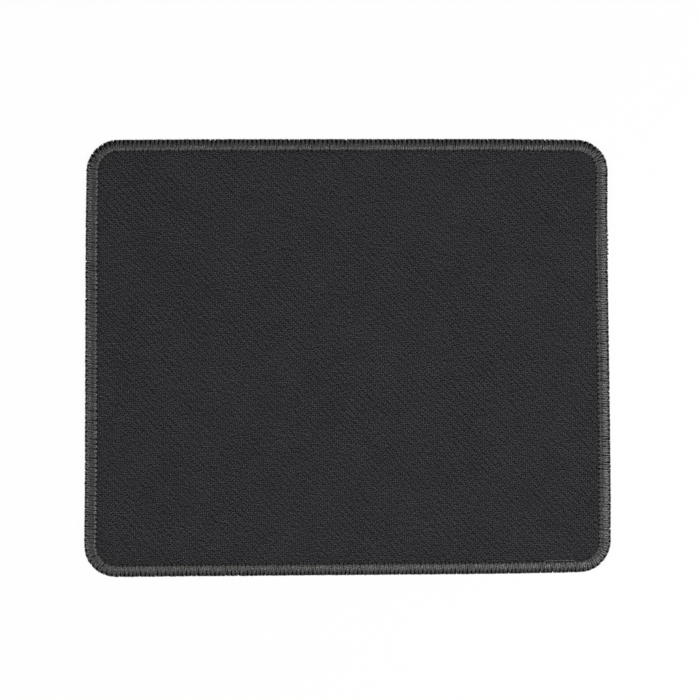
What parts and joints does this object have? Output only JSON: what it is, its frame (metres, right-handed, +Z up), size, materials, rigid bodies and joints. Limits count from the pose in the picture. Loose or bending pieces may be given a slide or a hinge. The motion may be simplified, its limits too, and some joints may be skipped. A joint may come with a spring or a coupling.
{
  "type": "mouse pad",
  "caption": "Rectangular cloth mouse pad with round corners: black woven cloth bonded to a foam-rubber base, its edge bound all round by an overlock seam.",
  "frame": {"origin": "middle of the underside, on the surface that the pad lies on", "axes": "+X along the long side, to the right in the picture, +Y along the short side, away from the user, +Z up out of the cloth"},
  "size_m": [0.2403, 0.2, 0.0036],
  "materials": {
    "rubber": "matt black foam rubber, finely embossed underside",
    "film": "milky hot-melt adhesive film",
    "cloth": "black polyester cloth, fine matt weave",
    "thread": "dark grey textured polyester sewing thread"
  },
  "bodies": {
    "root": {"rubber_base": "rubber", "bond_film": "film", "top_cloth": "cloth", "needle_thread": "thread", "upper_looper_thread": "thread", "lower_looper_thread": "thread"}
  },
  "joints": []
}
